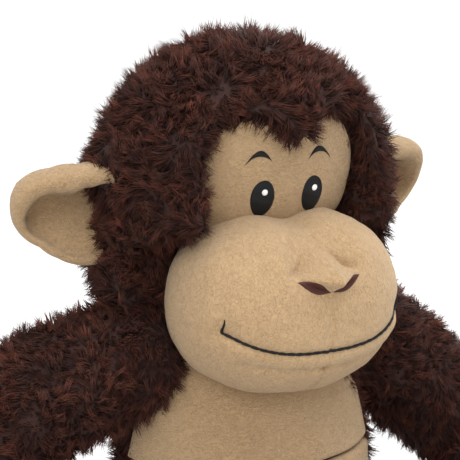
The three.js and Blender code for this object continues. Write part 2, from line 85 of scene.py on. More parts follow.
class Mat:
    # a material with one Principled shader and short ways to add nodes
    def __init__(self, name, **fixed):
        self.material = bpy.data.materials.new(name)
        self.material.use_nodes = True
        self.tree = self.material.node_tree
        self.shader = self.tree.nodes["Principled BSDF"]
        for socket, value in fixed.items():
            self.shader.inputs[socket.replace("_", " ")].default_value = value

    def put(self, socket, value):
        if isinstance(value, Val):
            self.tree.links.new(value.socket, socket)
        else:
            socket.default_value = value

    def node(self, kind, settings=None, inputs=None):
        made = self.tree.nodes.new(kind)
        for key, value in (settings or {}).items():
            if key == "stops":
                ramp = made.color_ramp
                while len(ramp.elements) < len(value):
                    ramp.elements.new(0.5)
                for element, (place, colour) in zip(ramp.elements, value):
                    element.position = place
                    element.color = (*colour, 1)
            else:
                setattr(made, key, value)
        for key, value in (inputs or {}).items():
            self.put(made.inputs[key], value)
        return [Val(self, out) for out in made.outputs]

    def set(self, socket, value):
        self.put(self.shader.inputs[socket], value)

    def mix(self, factor, a, b):
        colours = [c if isinstance(c, Val) else (*c, 1) for c in (a, b)]
        settings = {"data_type": "RGBA"}
        return self.node("ShaderNodeMix", settings, {0: factor, 6: colours[0], 7: colours[1]})[2]

    def noise(self, vector, scale, detail=2.0, rough=0.5, warp=0.0):
        inputs = {"Vector": vector, "Scale": scale, "Detail": detail, "Roughness": rough, "Distortion": warp}
        return self.node("ShaderNodeTexNoise", None, inputs)[0]

    def ramp(self, factor, stops):
        return self.node("ShaderNodeValToRGB", {"stops": stops}, {0: factor})[0]

    def objectCoords(self):
        return self.node("ShaderNodeTexCoord")[3]

    def bump(self, height, distance):
        inputs = {"Height": height, "Distance": distance, "Strength": 1.0}
        self.set("Normal", self.node("ShaderNodeBump", None, inputs)[0])


furColour = {
    "root": (0.024, 0.010, 0.0075),
    "middle": (0.050, 0.0165, 0.0115),
    "tip": (0.105, 0.031, 0.019),
    "rust": (0.26, 0.078, 0.040),
}


def furMaterial():
    # U is one strand's own shade, V runs from its root to its tip
    mat = Mat("longPileFur", Roughness=0.6, Specular_IOR_Level=0.2)
    uv = mat.node("ShaderNodeUVMap", {"uv_map": "OFBake"})[0]
    u, v, _ = mat.node("ShaderNodeSeparateXYZ", None, {0: uv})
    body = mat.ramp(v, [(0.0, furColour["root"]), (0.5, furColour["middle"]), (1.0, furColour["tip"])])
    bright = mat.ramp(v, [(0.05, furColour["root"]), (0.5, furColour["tip"]), (1.0, furColour["rust"])])
    dark = mat.ramp(v, [(0.0, furColour["root"]), (0.7, furColour["root"]), (1.0, furColour["middle"])])
    light = mat.ramp(u, [(0.50, (0, 0, 0)), (0.95, (1, 1, 1))])
    deep = mat.ramp(u, [(0.10, (1, 1, 1)), (0.45, (0, 0, 0))])
    colour = mat.mix(light, body, bright)
    colour = mat.mix(deep, colour, dark)
    mat.set("Base Color", colour)
    return mat.material


def backingMaterial():
    # the skin under the fur, in the fur's root and middle colours in spots: it stands for the backing cloth,
    # and is painted dark so that the gaps between the locks show painted shade
    mat = Mat("furBacking", Roughness=0.95)
    spots = mat.noise(mat.objectCoords(), 900, 3)
    mat.set("Base Color", mat.mix(spots, furColour["root"], furColour["middle"]))
    mat.bump(spots, 0.6 * mm)
    return mat.material


plushColour = {"light": (0.66, 0.465, 0.268), "middle": (0.49, 0.320, 0.168), "dark": (0.28, 0.160, 0.072)}


def plushMaterial(name, grain=1.0, stretch=(1, 1, 1)):
    # short pile: wavy strokes where the pile parts, over a fine speckle
    mat = Mat(name, Roughness=0.88, Sheen_Weight=0.35, Sheen_Roughness=0.45, Specular_IOR_Level=0.25)
    mat.shader.inputs["Sheen Tint"].default_value = (1.0, 0.9, 0.75, 1)
    where = mat.objectCoords()
    mapped = mat.node("ShaderNodeMapping", None, {"Vector": where, "Scale": stretch})[0]
    strokes = mat.noise(mapped, 480, 4, 0.65, 1.6)
    speckle = mat.noise(where, 1500, 2)
    clouds = mat.noise(where, 28, 2)
    parted = mat.ramp(strokes, [(0.36, (0, 0, 0)), (0.56, (1, 1, 1))])
    colour = mat.mix(parted, plushColour["dark"], plushColour["middle"])
    colour = mat.mix(0.1 + 0.5 * clouds, colour, plushColour["light"])
    mat.set("Base Color", mat.mix(0.35 * speckle * grain, colour, plushColour["dark"]))
    mat.bump(strokes * 0.7 + speckle * 0.3, 1.9 * mm * grain)
    return mat.material


def threadMaterial(name, colour, shine=0.35):
    # satin stitches side by side
    mat = Mat(name, Roughness=shine, Specular_IOR_Level=0.2)
    where = mat.objectCoords()
    x, _, z = mat.node("ShaderNodeSeparateXYZ", None, {0: where})
    slant = (x * 0.35 + z) * 1100
    ribs = slant.math("SINE")
    fray = mat.noise(where, 1400, 2)
    mat.set("Base Color", mat.mix(0.35 * fray, colour, [min(1, c * 3.5 + 0.01) for c in colour]))
    mat.bump(ribs * 0.3 + fray * 0.5, 0.25 * mm)
    return mat.material


def liningMaterial():
    mat = Mat("cottonLining", Roughness=0.9)
    where = mat.objectCoords()
    x, y, z = mat.node("ShaderNodeSeparateXYZ", None, {0: where})
    weave = (x * 9000).math("SINE") * ((y + z) * 9000).math("SINE")
    mat.set("Base Color", mat.mix(weave * 0.5 + 0.5, (0.62, 0.56, 0.47), (0.78, 0.73, 0.65)))
    mat.bump(weave, 0.1 * mm)
    return mat.material


def labelMaterial():
    mat = Mat("satinLabel", Roughness=0.4)
    _, _, z = mat.node("ShaderNodeSeparateXYZ", None, {0: mat.objectCoords()})
    ribs = (z * 14000).math("SINE")
    mat.set("Base Color", mat.mix(ribs * 0.5 + 0.5, (0.80, 0.80, 0.78), (0.90, 0.90, 0.88)))
    mat.bump(ribs, 0.04 * mm)
    return mat.material


fur = furMaterial()
backing = backingMaterial()
plush = plushMaterial("shortPilePlush", 1.0, (1, 1, 1.6))
muzzlePlush = plushMaterial("muzzlePlush", 0.7, (1.5, 1, 1))
blackThread = threadMaterial("blackThread", (0.004, 0.0042, 0.0045), 0.55)
brownThread = threadMaterial("brownThread", (0.040, 0.011, 0.008))
whiteThread = threadMaterial("whiteThread", (0.85, 0.85, 0.83))
lining = liningMaterial()
labelCloth = labelMaterial()
print("materials made")


# Mesh helpers

def coordsOf(bm):
    return np.array([v.co for v in bm.verts])


def moveTo(bm, coords):
    for vert, co in zip(bm.verts, coords):
        vert.co = co


def ball(detail):
    bm = bmesh.new()
    bmesh.ops.create_icosphere(bm, subdivisions=detail, radius=1)
    return bm


def rings(around, along):
    # a unit sphere in rings, whose axis is Z
    bm = bmesh.new()
    bmesh.ops.create_uvsphere(bm, u_segments=around, v_segments=along, radius=1)
    return bm


def addPiece(name, bm, material):
    # closes the mesh work: the faces point outwards, and the piece has its material and slot
    bmesh.ops.recalc_face_normals(bm, faces=bm.faces)
    if bm.calc_volume(signed=True) < 0:
        bmesh.ops.reverse_faces(bm, faces=bm.faces)
    mesh = bpy.data.meshes.new(name)
    bm.to_mesh(mesh)
    bm.free()
    mesh.materials.append(material)
    mesh.polygons.foreach_set("use_smooth", [True] * len(mesh.polygons))
    piece = bpy.data.objects.new(name, mesh)
    bpy.context.collection.objects.link(piece)
    return piece


def soft(low, high, value):
    t = np.clip((value - low) / (high - low), 0, 1)
    return t * t * (3 - 2 * t)


def bell(value, width):
    # 1 where the value is 0, and next to nothing past twice the width
    return np.exp(-(value / width) ** 2)


def lumps(coords, size, seed=0.0):
    # smooth noise from -1 to 1 at each point, size is the lumps' width
    shift = Vector((seed, seed * 1.7, seed * 0.6))
    return np.array([noise.noise(Vector(co) / size + shift) for co in coords])


def superRound(units, sizes, power):
    # unit directions pushed out to a rounded box of those half sizes
    power = np.broadcast_to(power, (len(units),))
    reach = (np.abs(units / sizes) ** power[:, None]).sum(axis=1) ** (-1 / power)
    return units * reach[:, None]


# Head

headShape = {
    "size": (69.5 * mm, 61 * mm, 74.5 * mm), "crown": 2.1, "jaw": 2.7, "lump": 1.7 * mm, "cheek": 8 * mm,
    "detail": 6,
    # the stuffing bulges over the ears and in the cheeks: place, rise and width
    "bulges": [((66, 8, 20), 5.5, 15), ((62, -8, -38), 5, 26)],
}
faceShape = {
    "front": 42.5 * mm, "bulge": 31 * mm, "half": 55 * mm, "tall": 52 * mm, "rise": 27 * mm,
    "middle": 13 * mm, "thick": 5 * mm, "around": 128, "along": 64, "hem": 1.04,
}
# the face panel's outline: angle from straight up, and reach from its middle
faceEdge = [
    (0, 19), (10, 22), (24, 32), (39, 38.5), (55, 42), (72, 41.5), (90, 40), (115, 41), (140, 39), (180, 36),
]


def faceEdgeAt(angle):
    # the panel's reach at these angles, which are in degrees from straight up
    return np.interp(angle, [a for a, _ in faceEdge], [r * mm for _, r in faceEdge])


def faceReach(x, z):
    # 1 on the face panel's edge, less inside it; x and z are from the head's middle
    dz = z - faceShape["middle"]
    return np.hypot(x, dz) / faceEdgeAt(np.degrees(np.arctan2(np.abs(x), dz)))


def faceDepth(x, z):
    # how far the face's skin stands ahead of the head's middle
    across = (x / faceShape["half"]) ** 2
    up = ((z - faceShape["rise"]) / faceShape["tall"]) ** 2
    roundness = np.sqrt(np.clip(1 - across - up, 0.02, 1))
    return faceShape["front"] - faceShape["bulge"] * (1 - roundness)


muzzleShape = {
    "ahead": 35 * mm, "drop": 47 * mm, "half": 53.5 * mm, "deep": 43 * mm, "up": 48 * mm, "down": 36.5 * mm,
    "crown": 2.5, "chin": 2.1, "detail": 7,
}
muzzleMid = headMid + Vector((0, -muzzleShape["ahead"], -muzzleShape["drop"]))


def besideMuzzle(points):
    # 1 on the muzzle's own skin, more outside it
    sizes = np.array([muzzleShape["half"], muzzleShape["deep"], muzzleShape["up"]])
    away = np.abs(points - np.array(muzzleMid)) / sizes
    return (away ** muzzleShape["crown"]).sum(axis=1) ** (1 / muzzleShape["crown"])


def headSkin():
    bm = ball(headShape["detail"])
    units = coordsOf(bm)
    jaw = soft(0.1, -0.5, units[:, 2])
    power = headShape["crown"] + (headShape["jaw"] - headShape["crown"]) * jaw
    local = superRound(units, np.array(headShape["size"]), power)
    push = headShape["lump"] * (lumps(local, 30 * mm) + 0.6 * lumps(local, 12 * mm, 4.0))
    for spot, rise, width in headShape["bulges"]:
        mirrored = np.stack([np.abs(local[:, 0]), local[:, 1], local[:, 2]], axis=1)
        away = np.linalg.norm(mirrored - np.array(spot) * mm, axis=1)
        push += rise * mm * bell(away, width * mm)
    local += units * push[:, None]
    x, y, z = local.T
    inner = -(faceDepth(x, z) - 3 * mm)
    rim = soft(1.0, 1.2, faceReach(x, z))
    ahead = (y < 0) & (faceReach(x, z) < 1.3)
    local[:, 1] = np.where(ahead, np.maximum(y, inner * (1 - rim) + y * rim), y)
    # the cheeks lie back beside the muzzle
    y = local[:, 1]
    cheek = soft(1.6, 1.2, besideMuzzle(local + np.array(headMid))) * soft(2 * mm, -18 * mm, z)
    local[:, 1] = np.maximum(y, -headShape["cheek"]) * cheek + y * (1 - cheek)
    moveTo(bm, local + np.array(headMid))
    return addPiece("headSkin", bm, backing)


headPiece = headSkin()


def facePanel():
    bm = rings(faceShape["around"], faceShape["along"])
    units = coordsOf(bm)
    # the sphere's poles point ahead and back, so its rings run round the panel
    reach = np.arccos(np.clip(np.abs(units[:, 2]), 0, 1)) / (math.pi / 2)
    angle = np.arctan2(units[:, 0], units[:, 1])
    edge = faceEdgeAt(np.degrees(np.abs(angle)))
    reach = reach * faceShape["hem"]
    x = np.sin(angle) * edge * reach
    z = np.cos(angle) * edge * reach + faceShape["middle"]
    depth = faceDepth(x, z)
    flat = np.stack([x, np.zeros_like(x), z], axis=1)
    depth += 0.7 * mm * lumps(flat, 12 * mm, 3.0)
    depth -= 5 * mm * soft(0.93, 1.05, reach)
    back = units[:, 2] < -0.001
    depth = np.where(back, depth - faceShape["thick"] * (1 - reach / faceShape["hem"]) ** 0.5, depth)
    coords = np.stack([x, -depth, z], axis=1) + np.array(headMid)
    moveTo(bm, coords)
    return addPiece("facePanel", bm, plush)


facePiece = facePanel()

mouth = {
    "half": 45.5 * mm, "drop": 9 * mm, "smile": 10.5 * mm, "tick": 6.5 * mm, "width": 1.4 * mm,
    "stitch": 4.2 * mm, "steps": 240, "around": 8,
}
nose = {
    "top": 40 * mm, "wing": 26.5 * mm, "tip": 19.5 * mm, "half": 17 * mm, "ridge": 11 * mm, "lip": 2.4 * mm,
    "bridge": 4 * mm,
}
# the folds and swellings of the muzzle's cloth: the height and the width of each, in millimetres
muzzleFolds = {
    "seam": (0.8, 1.1), "parting": (5, 12), "flank": (3, 6), "groove": (0.9, 1.6), "lip": (0.9, 3.5),
    "tuck": (1.3, 1.5), "dimple": (1.6, 2.2), "corner": (1.5, 5), "crease": (2.4, 2.2),
}


def mouthHeight(x):
    return -mouth["drop"] + mouth["smile"] * np.abs(x / mouth["half"]) ** 3


def muzzleSkin():
    bm = ball(muzzleShape["detail"])
    units = coordsOf(bm)
    shape = muzzleShape
    tall = np.where(units[:, 2] > 0, shape["up"], shape["down"])
    sizes = np.stack([np.full(len(units), shape["half"]), np.full(len(units), shape["deep"]), tall], axis=1)
    chin = soft(0.15, -0.35, units[:, 2])
    local = superRound(units, sizes, shape["crown"] + (shape["chin"] - shape["crown"]) * chin)
    x, y, z = local.T
    front = soft(0.0, 20 * mm, -y)
    out = local / np.linalg.norm(local, axis=1)[:, None]
    push = 0.6 * mm * lumps(local, 16 * mm, 5.0) + 0.25 * mm * lumps(local, 5 * mm, 9.0)

    def fold(kind, away):
        tall, wide = muzzleFolds[kind]
        return tall * mm * bell(away, wide * mm)

    # the seam down the middle, under the nose
    push -= fold("seam", x) * soft(14 * mm, 6 * mm, z) * front
    # over the nose, the two cheeks part
    push -= fold("parting", x) * soft(18 * mm, 32 * mm, z)
    flank = soft(22 * mm, 28 * mm, z) * soft(46 * mm, 36 * mm, z)
    push -= fold("flank", np.abs(x) - 13 * mm) * flank * front
    # the mouth's stitches pull a groove, and the lower lip tucks under it
    offset = z - mouthHeight(x)
    inMouth = soft(mouth["half"] + 3 * mm, mouth["half"] - 2 * mm, np.abs(x))
    push -= fold("groove", offset) * inMouth * front
    push += fold("lip", offset + 5 * mm) * inMouth * front
    tuck = z - (-mouth["drop"] - 9.5 * mm + 6 * mm * (x / (40 * mm)) ** 2)
    push -= fold("tuck", tuck) * soft(44 * mm, 26 * mm, np.abs(x)) * front
    dimple = np.hypot(x, (z + mouth["drop"] + 9 * mm) * 1.3)
    push -= fold("dimple", dimple) * front
    corner = np.hypot(np.abs(x) - mouth["half"], z - mouthHeight(mouth["half"]))
    push -= fold("corner", corner) * front
    # the nose: a pinched wedge, widest at its wings and lowest at its tip
    along = np.clip((nose["top"] - z) / (nose["top"] - nose["wing"]), 0, 1)
    half = nose["bridge"] + (nose["half"] - nose["bridge"]) * along
    tent = np.clip(1 - np.abs(x) / half, 0, 1)
    edge = nose["wing"] - (nose["wing"] - nose["tip"]) * np.clip(1 - np.abs(x) / nose["half"], 0, 1)
    under = soft(edge - nose["lip"], edge + 0.5 * mm, z)
    start = soft(nose["top"] + 1 * mm, nose["top"] - 10 * mm, z)
    wedge = nose["ridge"] * (0.35 + 0.65 * along) * tent * under * start
    crease = soft(nose["wing"] - 2 * mm, nose["wing"] + 3 * mm, z) * start
    push -= fold("crease", np.abs(x) - half) * crease * front
    coords = local + out * push[:, None]
    coords[:, 1] -= wedge * front
    coords[:, 2] += 0.25 * wedge * front
    moveTo(bm, coords + np.array(muzzleMid))
    return addPiece("muzzle", bm, muzzlePlush)


muzzlePiece = muzzleSkin()
print("head and face made")


# Embroidery, laid on the cloth below it

def surfaceOf(piece):
    bm = bmesh.new()
    bm.from_mesh(piece.data)
    tree = BVHTree.FromBMesh(bm)
    bm.free()
    return tree


faceSurface = surfaceOf(facePiece)
muzzleSurface = surfaceOf(muzzlePiece)


def layOn(tree, x, z, lift):
    hit, normal, _, _ = tree.ray_cast(Vector((x, -1, z)), Vector((0, 1, 0)))
    if hit is None:
        return None
    if normal.y > 0:
        normal = -normal
    return hit + normal * lift


def patch(name, tree, place, material, height, around=48, along=16):
    # place(angle, reach) gives x and z; the patch is domed by height and closed behind
    bm = rings(around, along)
    coords = []
    for co in coordsOf(bm):
        reach = math.acos(min(1, abs(co[2]))) / (math.pi / 2)
        x, z = place(math.atan2(co[1], co[0]), reach)
        rise = height * (1 - reach ** 4) + 0.1 * mm if co[2] >= 0 else -0.8 * mm
        coords.append(layOn(tree, x, z, rise))
    moveTo(bm, coords)
    return addPiece(name, bm, material)


eyes = {
    "apart": 26 * mm, "rise": 7 * mm, "wide": 11.4 * mm, "tall": 17 * mm,
    "fleck": 1.45 * mm, "fleckAside": 0.3 * mm, "fleckRise": 3 * mm,
}
facePatches = []


def eyePatch(side, s):
    centre = headMid + Vector((s * eyes["apart"] / 2, 0, eyes["rise"]))

    def oval(angle, reach):
        # slightly wider at the top
        wide = eyes["wide"] / 2 * (1 + 0.04 * math.sin(angle))
        x = centre.x + wide * reach * math.cos(angle)
        return x, centre.z + eyes["tall"] / 2 * reach * math.sin(angle)

    def fleck(angle, reach):
        radius = eyes["fleck"] * reach
        x = centre.x + eyes["fleckAside"] + radius * math.cos(angle)
        return x, centre.z + eyes["fleckRise"] + radius * math.sin(angle)

    eye = patch(f"eye_{side}_embroidery", faceSurface, oval, blackThread, 0.9 * mm, 64, 20)
    light = patch(f"eye_{side}_fleck", surfaceOf(eye), fleck, whiteThread, 0.5 * mm, 24, 10)
    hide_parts(f"eye_{side}")
    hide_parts(f"eye_highlight_{side}")
    facePatches.extend([eye, light])


# a brow bends from its inner end to its outer one: out and up from the head's middle, in millimetres
browShape = {"points": ((9.5, 23.5), (15.5, 32.5), (22.5, 22.5)), "thick": 1.35 * mm}


def browPatch(side, s):
    start, peak, end = (Vector(spot) * mm for spot in browShape["points"])

    def bow(angle, reach):
        t = 0.5 + 0.5 * reach * math.cos(angle)
        middle = start * (1 - t) ** 2 + peak * 2 * t * (1 - t) + end * t * t
        thick = browShape["thick"] * math.sin(math.pi * min(1, max(0, t)) ** 0.8)
        return headMid.x + s * middle.x, headMid.z + middle.y + thick * reach * math.sin(angle)

    brow = patch(f"brow_{side}_embroidery", faceSurface, bow, blackThread, 0.7 * mm, 40, 12)
    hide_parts(f"brow_{side}")
    facePatches.append(brow)


def nostrilPatch(side, s):
    def lens(angle, reach):
        t = 0.5 + 0.5 * reach * math.cos(angle)
        x = (0.6 + 15.6 * t) * mm
        line = nose["wing"] - (nose["wing"] - nose["tip"]) * (1 - x / nose["half"])
        line = line - nose["lip"] - 0.6 * mm * t
        thick = 2.9 * mm * math.sin(math.pi * min(1, max(0, t))) ** 0.75
        z = line + thick * reach * math.sin(angle) * 0.9
        return muzzleMid.x + s * x, muzzleMid.z + z

    name = f"nostril_{side}_embroidery"
    spot = patch(name, muzzleSurface, lens, brownThread, 0.5 * mm, 40, 14)
    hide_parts(f"nostril_{side}")
    facePatches.append(spot)


def mouthLine():
    # back stitches along the smile, with an upright tick at each corner
    half = mouth["half"]
    route = [(x, mouthHeight(x)) for x in np.linspace(-half, half, mouth["steps"])]
    tick = [(-half, mouthHeight(half) + mouth["tick"] * k / 10) for k in range(10, 0, -1)]
    route = tick + route + [(-x, z) for x, z in reversed(tick)]
    spots = [layOn(muzzleSurface, muzzleMid.x + x, muzzleMid.z + z, 0.35 * mm) for x, z in route]
    spots = [spot for spot in spots if spot]
    bm = bmesh.new()
    run = 0.0
    sections = []
    for k, spot in enumerate(spots):
        ahead = spots[min(k + 1, len(spots) - 1)] - spots[max(k - 1, 0)]
        run += (spot - spots[k - 1]).length if k else 0
        outward = (spot - muzzleMid).normalized()
        side = ahead.cross(outward).normalized()
        ends = min(1, k / 6, (len(spots) - 1 - k) / 6) * 0.7 + 0.3
        plump = 0.72 + 0.28 * abs(math.sin(math.pi * run / mouth["stitch"]))
        radius = mouth["width"] / 2 * ends * plump
        made = bmesh.ops.create_circle(bm, segments=mouth["around"], radius=radius)["verts"]
        turn = Matrix((side, outward, ahead.normalized())).transposed().to_4x4()
        bmesh.ops.transform(bm, matrix=Matrix.Translation(spot) @ turn, verts=made)
        sections.append(made)
    for a, b in zip(sections, sections[1:]):
        edges = {e for v in a + b for e in v.link_edges if e.verts[0] in a and e.verts[1] in a}
        edges |= {e for v in b for e in v.link_edges if e.verts[0] in b and e.verts[1] in b}
        bmesh.ops.bridge_loops(bm, edges=list(edges))
    for end in (sections[0], sections[-1]):
        bmesh.ops.contextual_create(bm, geom=end)
    piece = addPiece("mouthThread", bm, blackThread)
    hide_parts("mouth_stitch")
    facePatches.append(piece)


for side, s in sides:
    eyePatch(side, s)
    browPatch(side, s)
    nostrilPatch(side, s)
mouthLine()
print("embroidery made")

for piece in [headPiece, facePiece, muzzlePiece, *facePatches]:
    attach(piece, "head")
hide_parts("head_gusset", "head_side_left", "head_side_right", "head_stuffing")
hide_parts("face_panel")
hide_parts("muzzle_left", "muzzle_right", "nose", "muzzle_stuffing")


# Ears

earShape = {
    # the outline, from the root outwards: reach and height
    "outline": [
        (0, 17), (10, 17.5), (24, 17.7), (37, 16.5), (46, 14.5), (52.5, 10.4), (55.5, 4.5), (56, -1.4),
        (55, -7.5), (51.5, -13.2), (42.5, -19.5), (34, -25), (27, -28), (14, -28.5), (0, -26),
    ],
    "middle": (27, -4), "lift": 4, "sweep": 17, "roll": 14 * mm, "thinRoll": 4.5 * mm, "rise": 10.5 * mm,
    "thinRise": 2.2 * mm, "hollow": 8.5 * mm, "back": 10 * mm, "reach": 0.95, "around": 128, "along": 96,
}


def ear(side, s):
    root = jointAt[f"ear_fold_{side}"]
    bm = rings(earShape["around"], earShape["along"])
    units = coordsOf(bm)
    reach = np.arccos(np.clip(np.abs(units[:, 2]), 0, 1)) / (math.pi / 2)
    angle = np.arctan2(units[:, 1], units[:, 0])
    front = units[:, 2] >= 0
    outline = np.array(earShape["outline"]) - np.array(earShape["middle"])
    outline[:, 0] *= earShape["reach"]
    turns = np.arctan2(outline[:, 1], outline[:, 0])
    order = np.argsort(turns)
    edge = np.interp(angle, turns[order], np.hypot(*outline.T)[order], period=math.tau) * mm
    across = np.cos(angle) * reach * edge + earShape["middle"][0] * mm
    rise = np.sin(angle) * reach * edge + (earShape["middle"][1] + earShape["lift"]) * mm
    # a thick roll along the top thins round the tip, over a hollow
    inward = (1 - reach) * edge
    top = soft(-0.5, 0.7, np.sin(angle))
    roll = earShape["thinRoll"] + (earShape["roll"] - earShape["thinRoll"]) * top
    tall = earShape["thinRise"] + (earShape["rise"] - earShape["thinRise"]) * top
    bump = tall * np.sqrt(np.clip(1 - ((inward - roll / 2) / (roll / 2)) ** 2, 0, 1)) * (inward < roll)
    hollow = -earShape["hollow"] * soft(roll * 0.75, roll * 1.15, inward) * soft(-20 * mm, 4 * mm, rise)
    hollow -= 0.8 * mm * soft(roll * 0.9, roll * 1.4, inward)
    ahead = np.where(front, bump + hollow, -earShape["back"] * np.sqrt(np.clip(1 - reach ** 2.5, 0, 1)))
    flat = np.stack([across, ahead, rise], axis=1)
    ahead = ahead + 0.5 * mm * lumps(flat, 10 * mm, 7.0 + s)
    turn = math.radians(earShape["sweep"])
    out = across * math.cos(turn) + ahead * math.sin(turn)
    backward = across * math.sin(turn) - ahead * math.cos(turn)
    moveTo(bm, np.stack([s * out, backward, rise], axis=1) + np.array(root))
    piece = addPiece(f"ear_{side}", bm, plush)
    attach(piece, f"ear_{side}")
    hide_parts(f"ear_back_{side}", f"ear_lining_{side}")


for side, s in sides:
    ear(side, s)
print("ears made")


# Torso

torsoShape = {
    # reach and height from the seat to the neck
    "profile": [
        (0, 0), (47, 0.2), (57, 14), (61, 45), (60.5, 85), (56, 115), (46, 137), (36, 150), (30, 165),
        (18, 177), (0, 181),
    ],
    "depthShare": 0.875, "chestShare": 0.67, "chestHeight": 150 * mm, "around": 96, "along": 90,
}


def torsoShare(height):
    # the torso's depth over its width: less at the chest than at the seat
    rise = np.clip(height / torsoShape["chestHeight"] - 0.5, 0, 0.5) * 2
    return torsoShape["depthShare"] + (torsoShape["chestShare"] - torsoShape["depthShare"]) * rise


def torsoPoint(angle, height):
    # a point on the torso's skin; angle is from straight ahead
    outer = torsoShape["profile"][1:]
    radius = np.interp(height, [z * mm for _, z in outer], [r * mm for r, _ in outer])
    return np.sin(angle) * radius, -np.cos(angle) * radius * torsoShare(height)


def torsoSkin():
    bm = rings(torsoShape["around"], torsoShape["along"])
    units = coordsOf(bm)
    profile = np.array(torsoShape["profile"]) * mm
    run = np.concatenate([[0], np.cumsum(np.hypot(*np.diff(profile, axis=0).T))])
    t = np.arccos(np.clip(-units[:, 2], -1, 1)) / math.pi * run[-1]
    radius = np.interp(t, run, profile[:, 0])
    height = np.interp(t, run, profile[:, 1])
    angle = np.arctan2(units[:, 0], -units[:, 1])
    share = torsoShare(height)
    toNeck = soft(140 * mm, 165 * mm, height)
    x = np.sin(angle) * radius
    y = -np.cos(angle) * radius * (share * (1 - toNeck) + toNeck) + neckAt.y * toNeck
    moveTo(bm, np.stack([x, y, height], axis=1))
    every = {"use_axis_x": True, "use_axis_y": True, "use_axis_z": True}
    for _ in range(3):
        bmesh.ops.smooth_vert(bm, verts=[v for v in bm.verts if v.co.z > 3 * mm], factor=0.5, **every)
    return addPiece("torsoSkin", bm, backing)


torsoPiece = torsoSkin()

frontShape = {
    "low": 9 * mm, "seam": 89 * mm, "high": 150 * mm, "rise": 3.2 * mm, "thick": 4 * mm, "twist": -14,
    "across": 90, "upright": 60,
}
# the tan front's half angle at each height, in millimetres and degrees
frontEdge = [(9, 26), (20, 50), (35, 65), (60, 76), (89, 79), (112, 74), (130, 66), (150, 56)]


def frontTwist(height):
    # the front turns a little to one side towards the chest, in degrees
    return frontShape["twist"] * soft(20 * mm, 90 * mm, height)


def frontPanel(name, low, high, node):
    bm = bmesh.new()
    bmesh.ops.create_grid(bm, x_segments=frontShape["across"], y_segments=frontShape["upright"], size=1)
    grid = coordsOf(bm)
    height = low + (high - low) * (grid[:, 1] + 1) / 2
    angles = np.interp(height / mm, [z for z, _ in frontEdge], [a for _, a in frontEdge])
    angle = np.radians(angles * grid[:, 0] + frontTwist(height))
    x, y = torsoPoint(angle, height)
    outX, outY = np.sin(angle), -np.cos(angle)
    # the panel's edges turn in under the fur and at the seam
    lift = frontShape["rise"] - 7 * mm * soft(0.94, 1.0, np.abs(grid[:, 0]))
    lift = lift - 5.5 * mm * soft(0.955, 1.0, np.abs(grid[:, 1]))
    flat = np.stack([x, y, height], axis=1)
    lift = lift + 0.5 * mm * lumps(flat, 18 * mm, 11.0)
    coords = np.stack([x + outX * lift, y + outY * lift, height], axis=1)
    moveTo(bm, coords)
    bmesh.ops.recalc_face_normals(bm, faces=bm.faces)
    bmesh.ops.solidify(bm, geom=bm.faces[:], thickness=frontShape["thick"])
    piece = addPiece(name, bm, plush)
    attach(piece, "torso")
    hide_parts(node)


frontPanel("chestPanel", frontShape["seam"], frontShape["high"], "chest_panel")
frontPanel("bellyPanel", frontShape["low"], frontShape["seam"], "belly_panel")
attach(torsoPiece, "torso")
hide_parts("back_left", "back_right", "neck_cover", "seat_panel", "torso_stuffing")
seamShape = {"count": 13, "slant": 24, "long": 7 * mm, "thick": 0.7 * mm}


def closingSeam():
    # the hand-sewn stitches that close the back
    low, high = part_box("closing_seam")
    thick = seamShape["thick"]
    bm = bmesh.new()
    for k, height in enumerate(np.linspace(low.z + 2 * mm, high.z - 2 * mm, seamShape["count"])):
        slant = seamShape["slant"] if k % 2 else -seamShape["slant"]
        turn = Matrix.Rotation(math.radians(90 + slant), 4, "Y")
        _, back = torsoPoint(math.pi, height)
        size = Matrix.Diagonal((thick, thick, seamShape["long"] / 2, 1))
        place = Matrix.Translation((0, back + thick, height)) @ turn @ size
        bmesh.ops.create_uvsphere(bm, u_segments=8, v_segments=8, radius=1, matrix=place)
    piece = addPiece("closingSeam", bm, brownThread)
    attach(piece, "torso")
    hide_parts("closing_seam")


closingSeam()
print("torso made")


# Limbs: a round form along a path

def pathFrames(points, steps=60):
    # a smooth path through the points, with a frame at each step that doesn't twist
    pts = np.array(points, float)
    pts = np.vstack([2 * pts[0] - pts[1], pts, 2 * pts[-1] - pts[-2]])
    line = []
    for k in range(1, len(pts) - 2):
        a, b, c, d = pts[k - 1:k + 3]
        for t in np.linspace(0, 1, steps, endpoint=False):
            square, cube = 2 * a - 5 * b + 4 * c - d, 3 * b - a - 3 * c + d
            line.append(0.5 * ((2 * b) + (c - a) * t + square * t * t + cube * t ** 3))
    line.append(pts[-2])
    line = np.array(line)
    run = np.concatenate([[0], np.cumsum(np.linalg.norm(np.diff(line, axis=0), axis=1))])
    along = np.gradient(line, run, axis=0)
    along /= np.linalg.norm(along, axis=1)[:, None]
    side = np.cross(along[0], [0, 0, 1.0])
    if np.linalg.norm(side) < 0.1:
        side = np.cross(along[0], [0, 1.0, 0])
    across = []
    for direction in along:
        side = side - direction * side.dot(direction)
        side = side / np.linalg.norm(side)
        across.append(side)
    across = np.array(across)
    return run, line, along, across, np.cross(along, across)


